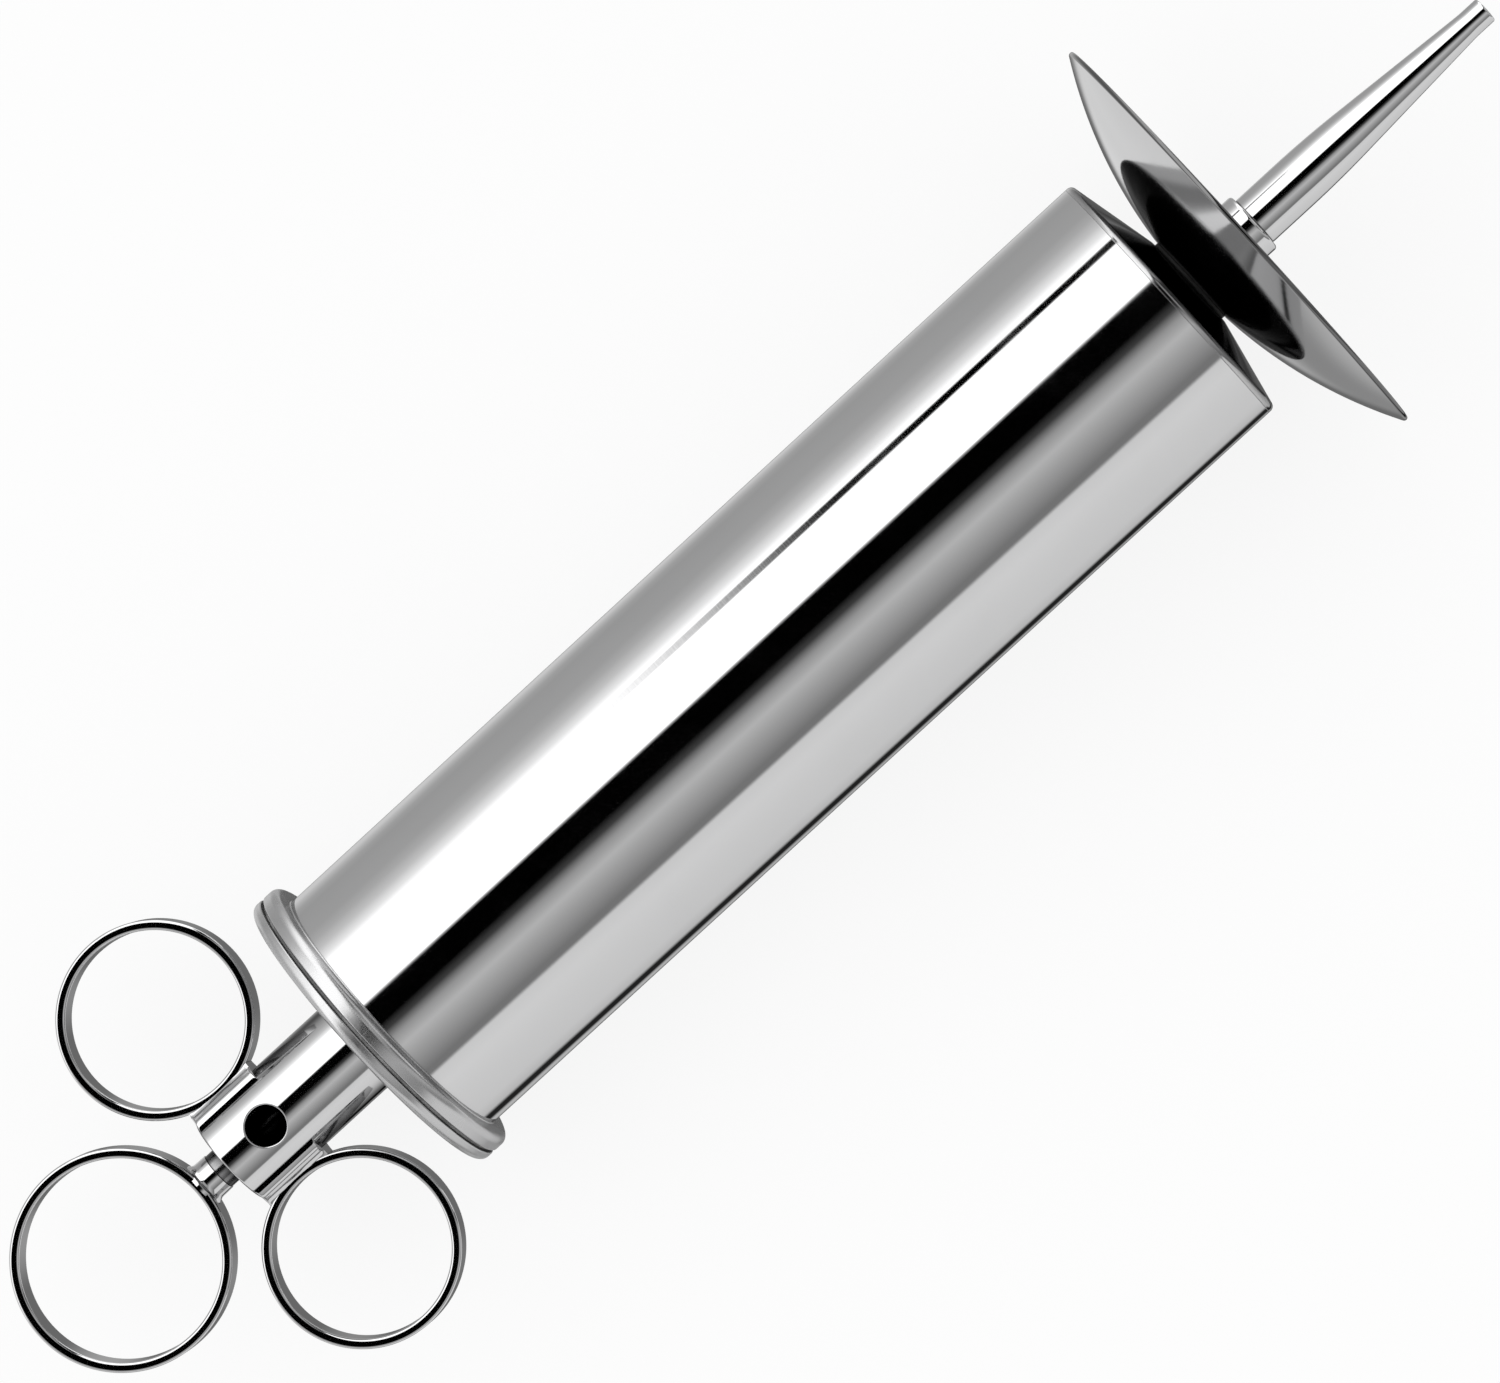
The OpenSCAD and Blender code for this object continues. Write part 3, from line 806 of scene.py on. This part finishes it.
def floor():
    """Pale floor under the shield's rim and the flange; it can't be seen from below."""
    _, shield_x, shield_r = span("splash_shield")
    flange_x, _, flange_r = span("rear_cap")
    slope = math.atan2(shield_r - flange_r, shield_x - flange_x)
    size = 6.0
    corners = [(-size, -size, 0), (size, -size, 0), (size, size, 0), (-size, size, 0)]
    mesh = bpy.data.meshes.new("floor")
    mesh.from_pydata(corners, [], [(0, 1, 2, 3)])
    obj = bpy.data.objects.new("floor", mesh)
    bpy.context.scene.collection.objects.link(obj)
    obj.rotation_euler = (0, slope, 0)
    obj.location = (shield_x * MM, 0, -shield_r * MM)
    obj.visible_glossy = False
    material, t = new_material("floor")
    paint = t.add("BsdfDiffuse", {"Color": (0.84, 0.84, 0.84, 1)})
    glow = t.add("Emission", {"Color": (1, 1, 1, 1), "Strength": linear(BACKDROP)})
    pale = t.add("MixShader", {0: 0.85, 1: paint, 2: glow})
    hidden = t.add("BsdfTransparent")
    back = t.tree.nodes.new("ShaderNodeNewGeometry").outputs["Backfacing"]
    t.add("OutputMaterial", {"Surface": t.add("MixShader", {0: back, 1: pale, 2: hidden})})
    mesh.materials.append(material)


def lamp():
    """Large soft light from above, which polished metal doesn't mirror."""
    data = bpy.data.lights.new("softbox", "SUN")
    data.energy, data.angle = 0.7, math.radians(60)
    obj = bpy.data.objects.new("softbox", data)
    bpy.context.scene.collection.objects.link(obj)
    obj.rotation_euler = (math.radians(-25), math.radians(-15), 0)
    obj.visible_glossy = False


def camera():
    """Camera almost straight above the injector, which points up to the right in the picture."""
    distance, pitch, side, roll = 1.0, math.radians(3.57), math.radians(-2.27), math.radians(42.53)
    target = Vector((-0.00206, -0.00071, 0))
    toward = Vector((math.sin(pitch), math.sin(side), 0))
    toward.z = math.sqrt(1 - toward.length_squared)
    along = (Vector((1, 0, 0)) - toward * toward.x).normalized()
    across = toward.cross(along)
    right = along * math.cos(roll) - across * math.sin(roll)
    up = along * math.sin(roll) + across * math.cos(roll)
    data = bpy.data.cameras.new("camera")
    data.lens, data.sensor_width = 179.93, 36
    obj = bpy.data.objects.new("camera", data)
    bpy.context.scene.collection.objects.link(obj)
    turn = Matrix((right, up, toward)).transposed().to_4x4()
    obj.matrix_world = Matrix.Translation(target + toward * distance) @ turn
    bpy.context.scene.camera = obj


# --- The injector in its studio ---------------------------------------------------------------------------

# each metal below has painted shade in its corners and gaps; it is deepest on the front cap and the rod
chrome = metal("chrome", (0.93, 0.93, 0.935), 0.035, lines=0.10)
# the sleeve's chrome has painted shade along its outline, where it is seen edge-on
sleeve = metal("sleeve_chrome", (0.93, 0.93, 0.935), 0.04, lines=0.10, edge=0.9)
# spun chrome with painted shade on the shield's rim
spun = metal("spun_chrome", (0.92, 0.92, 0.925), 0.06, lines=0.25, line_scale=2500,
             cut_r=span("splash_shield")[2])
# spun chrome with deep, wide painted shade, for the front cap in the dark gap behind the shield
shaded = metal("spun_chrome_painted_shade_in_the_gap", (0.92, 0.92, 0.925), 0.06, lines=0.25, line_scale=2500,
               corner_shade=1.0, reach=0.03, shut=0.45)
satin = metal("satin_chrome", (0.80, 0.80, 0.805), 0.24, lines=0.35, line_scale=1500, corner_shade=0.7)
# ground steel with deep painted shade where it is shut in, so the rod seen through the drain hole is dark
steel = metal("ground_steel", (0.80, 0.80, 0.81), 0.12, lines=0.35, line_scale=3000, corner_shade=1.0,
              reach=0.012, shut=0.4, rays=16)
brass = metal("turned_brass", (0.78, 0.60, 0.30), 0.16, lines=0.5, line_scale=2500)
black_rubber = rubber("black_rubber", 0.02)
grey_rubber = rubber("grey_rubber", 0.16)

barrel_tube(chrome)
front_cap(shaded)
nozzle_spigot(steel)
barrel_collar(satin)
cap_gasket(grey_rubber)
rear_cap(satin)
guide_sleeve(sleeve)
front_bush(brass)
rear_bush(steel)
finger_ring("finger_ring_left", chrome)
finger_ring("finger_ring_right", chrome)
piston_rod(steel)
thumb_ring(chrome)
plain_ring("rear_piston_disc", STUD_BORE, 0.25, steel)
cup("rear_cup", -1, black_rubber)
piston_spacer(steel)
cup("front_cup", 1, black_rubber)
plain_ring("front_piston_disc", STUD_BORE, 0.25, steel)
plain_ring("lock_washer", STUD_BORE, 0.15, steel, 96)
piston_nut(brass)
plain_ring("shield_washer", SPIGOT_BORE, 0.12, black_rubber, 96)
splash_shield(spun)
plain_ring("nozzle_seal", SPIGOT_DUCT, 0.1, black_rubber, 96)
nozzle_hub(chrome)
nozzle_tube(chrome)

studio_world()
floor()
lamp()
camera()
bpy.context.scene.view_settings.view_transform = "Standard"
